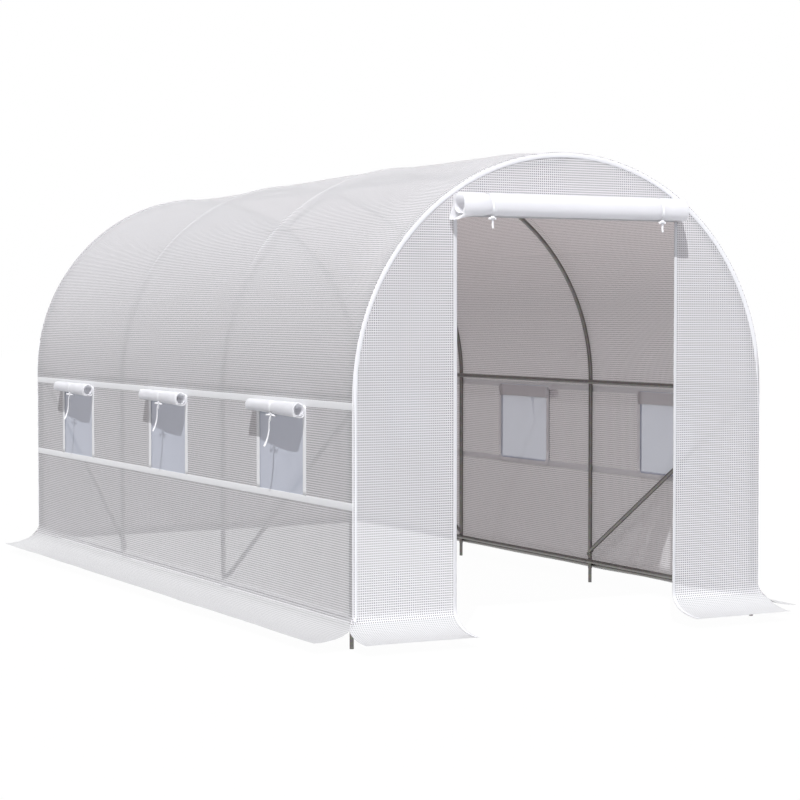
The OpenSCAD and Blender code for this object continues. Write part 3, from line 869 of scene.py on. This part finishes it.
door_low, door_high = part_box("door_roll")
door_radius = (door_high.y - door_low.y) / 2
door_axis = Vector(((door_low.x + door_high.x) / 2, door_low.y + door_radius, door_low.z + door_radius))
door_length = door_high.x - door_low.x
door_turns, door_pitch, door_rise, door_belly = 1.6, 0.0045, -0.010, 0.0130
door_sags = (0.032, 0.001, 0.008)
door_overhang = 0.022
door_tie_places = (-0.414, 0.426)


def on_front(along, across, up):
    """A point of the door roll: along it, across towards the front wall, and up."""
    return door_axis + Vector((along, across, up))


door_shape = rolled(on_front, door_length / 2 + door_overhang, door_radius, door_turns, door_pitch, door_rise,
                    door_belly, door_sags, door_overhang, door_tie_places, 1)
door_flap = add_piece("rolled_door", door_shape, flap_sheet)
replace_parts(door_flap, "door_roll")

window_turns, window_pitch, window_rise, window_belly = 2.2, 0.0030, -0.012, 0.006
window_sags = (0.006, 0.002, 0.0)
# The window rolls are wound tighter towards the rear end of each
window_taper = 0.18
window_flat = 0.88
window_lift = 0.004
window_shift = 0.011
window_overhang = 0.006
window_rolls = {}
for side_name, side in sides.items():
    low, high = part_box(f"{side_name}_window_rolls")
    window_radius = (high.x - low.x) / 2
    window_length = high.y - low.y - (bay_ys[-1] - bay_ys[0])
    axis_x, axis_z = (low.x + high.x) / 2, low.z + window_radius
    for number, bay in enumerate(bay_ys, 1):

        def on_wall(along, across, up, side=side, bay=bay, x=axis_x, z=axis_z + window_lift):
            """A point of a window roll: along it, across towards the wall, and up."""
            tight = 1 - window_taper * smooth_step(along / window_length + 0.5)
            return Vector((x - side * (window_radius - (window_radius - across) * tight * window_flat),
                           bay + window_shift + along, z + window_radius - (window_radius - up) * tight))

        window_rolls[side_name, number] = on_wall
        shape = rolled(on_wall, window_length / 2 + window_shift, window_radius, window_turns, window_pitch,
                       window_rise, window_belly, window_sags, window_overhang, [-window_shift],
                       20 + number + 3 * side)
        flap = add_piece(f"{side_name}_rolled_window_{number}", shape, flap_sheet)
        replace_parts(flap, f"{side_name}_window_rolls")

# Ties
# Polyester strap sewn in over each flap, brought round the front of the roll and tied under it in a small bow:
# the wrap, the knot, two flat ears and a short end.
strap_gap = 0.0022
wrap_from, wrap_to = math.radians(62), math.radians(300)
# Half length, depth and height of a knot, and its ears' width, as shares of its size and of the strap's width
knot_long, knot_deep, knot_high, ear_width = 0.6, 0.72, 0.95, 0.8


def tie_shape(place, at, radius, belly, knot_angle, slack, ear_length, knot_size, end_length):
    """The wrap, knot, ears and short end of a tie at a place along a roll. Angles start at the wall and go up."""

    def around(angle, lift, along=0.0):
        reach = radius + strap_gap + lift + swell(1 - angle / (2 * math.pi), belly)
        return place(at + along, reach * math.cos(angle), reach * math.sin(angle))

    axis = (place(1, 0, 0) - place(0, 0, 0)).normalized()
    wrap = [around(angle, 0.0) for angle in steps(wrap_from, wrap_to, 40)]
    parts = [swept(strap_rings(wrap, [axis] * len(wrap)))]
    knot = around(knot_angle, slack + strap_thick + knot_size * 0.25)
    out = (knot - around(knot_angle, -radius)).normalized()
    drop = axis.cross(out)
    drop = drop if drop.z < 0 else -drop
    # The knot: a strap wound round itself, fatter in the middle and creased at its waist
    knot_rings = []
    for share in steps(-1, 1, 10):
        crease = 1 - 0.10 * math.cos(share * 9)
        fat = knot_size / 2 * math.sqrt(max(1 - (abs(share) * 0.94) ** 2.6, 0.02)) * crease
        knot_rings.append([knot + axis * (share * knot_size * knot_long)
                           + (out * math.cos(a) * knot_deep + drop * math.sin(a) * knot_high) * fat
                           for a in steps(0, 2 * math.pi, 14)[:-1]])
    parts.append(swept(knot_rings))
    for way in (-1, 1):
        ear = [(0.1, 0.00, 0.1), (0.45, -0.16, 0.20), (0.80, -0.17, 0.22), (1.0, -0.02, 0.16),
               (0.86, 0.20, 0.10), (0.45, 0.18, 0.12), (0.1, 0.05, 0.05)]
        line = smooth_path([knot + (axis * way * u + drop * v + out * w) * ear_length for u, v, w in ear], 4)
        parts.append(swept(strap_rings(line, [out + drop * 0.25] * len(line), strap_width * ear_width)))
    end = [(0.0, 0.0), (0.3, 0.10), (0.65, 0.04), (1.0, 0.16)]
    line = smooth_path([knot + Vector((0, 0, -1)) * (end_length * u) + axis * (end_length * v * 0.5)
                        + out * (0.003 + 0.004 * u) for u, v in end], 4)
    parts.append(swept(strap_rings(line, [axis] * len(line))))
    return joined(parts)


door_ties = [tie_shape(on_front, at, door_radius - tie_pinch, door_belly, knot_angle=math.radians(244),
                       slack=0.0115, ear_length=0.018, knot_size=0.021, end_length=0.037)
             for at in door_tie_places]
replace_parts(add_piece("door_roll_ties", joined(door_ties), polyester), "door_ties")
for side_name in sides:
    bows = [tie_shape(window_rolls[side_name, number], -window_shift, window_radius - tie_pinch, window_belly,
                      knot_angle=math.radians(238), slack=0.0035, ear_length=0.042, knot_size=0.014,
                      end_length=0.026) for number in (1, 2, 3)]
    window_bows = add_piece(f"{side_name}_window_bows", joined(bows), polyester)
    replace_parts(window_bows, f"{side_name}_window_ties")

# Floor and light
# A plain white floor that runs on into a white room. Sunlight from the front left gives the crisp shadows. The
# room's own light is soft, brighter from the front, with a fill from behind on the right for the shaded sides.
sun_travel = Vector((0.31, 0.45, -0.837))
floor_half = 60
floor_mesh = bpy.data.meshes.new("floor")
floor_corners = [(x * floor_half, y * floor_half, 0) for x, y in ((-1, -1), (1, -1), (1, 1), (-1, 1))]
floor_mesh.from_pydata(floor_corners, [], [(0, 1, 2, 3)])
floor = bpy.data.objects.new("floor", floor_mesh)
bpy.context.scene.collection.objects.link(floor)


def shown_rays(tree):
    """1 for rays that show the room, straight or by way of metal or clear film, and 0 for those that light it."""
    seen = add(tree, "ShaderNodeLightPath")
    mirrored = add(tree, "ShaderNodeMath", {0: seen.outputs["Is Camera Ray"], 1: seen.outputs["Is Glossy Ray"]},
                   operation="MAXIMUM")
    return add(tree, "ShaderNodeMath", {0: mirrored, 1: seen.outputs["Is Transmission Ray"]}, operation="MAXIMUM")


# Matt white paint: it is seen as white, less a share that keeps the shadow, and it is pale grey to the light
# that falls on it
white_share = 0.95
floor_paint, tree = new_material("white floor paint")
share = add(tree, "ShaderNodeMath", {0: shown_rays(tree), 1: white_share}, operation="MULTIPLY")
paint = add(tree, "ShaderNodeBsdfDiffuse", {"Color": linear("#a2a2a2")})
white = add(tree, "ShaderNodeEmission", {"Color": (1, 1, 1, 1), "Strength": 1.03})
floor_shader = add(tree, "ShaderNodeMixShader", {0: share, 1: paint, 2: white})
add(tree, "ShaderNodeOutputMaterial", {"Surface": floor_shader})
floor_mesh.materials.append(floor_paint)

sun_lamp = bpy.data.lights.new("sun", "SUN")
sun_lamp.energy = 4.05
sun_lamp.angle = math.radians(0.5)
sun = bpy.data.objects.new("sun", sun_lamp)
sun.rotation_euler = sun_travel.to_track_quat("-Z", "Y").to_euler()
bpy.context.scene.collection.objects.link(sun)

world = bpy.data.worlds.new("white room")
bpy.context.scene.world = world
world.use_nodes = True
tree = world.node_tree
tree.nodes.clear()
direction = add(tree, "ShaderNodeTexCoord").outputs["Generated"]
# An even light, and two soft beams: where each comes from, how narrow it is and how strong
strength = 0.12
beams = (((0, -1, 0), 4.0, 1.9), ((0.6, 0.8, 0), 2.0, 0.8))
for towards, power, most in beams:
    along_beam = add(tree, "ShaderNodeVectorMath", {0: direction, 1: towards}, operation="DOT_PRODUCT")
    facing = add(tree, "ShaderNodeMath", {0: along_beam.outputs["Value"], 1: 0.0}, operation="MAXIMUM")
    beam = add(tree, "ShaderNodeMath", {0: facing, 1: power}, operation="POWER")
    strength = add(tree, "ShaderNodeMath", {0: beam, 1: most, 2: strength}, operation="MULTIPLY_ADD")
room = add(tree, "ShaderNodeBackground", {"Color": linear("#f4f6ff"), "Strength": strength})
backdrop = add(tree, "ShaderNodeBackground", {"Color": (1, 1, 1, 1), "Strength": 1.0})
white_room = add(tree, "ShaderNodeMixShader", {0: shown_rays(tree), 1: room, 2: backdrop})
add(tree, "ShaderNodeOutputWorld", {"Surface": white_room})
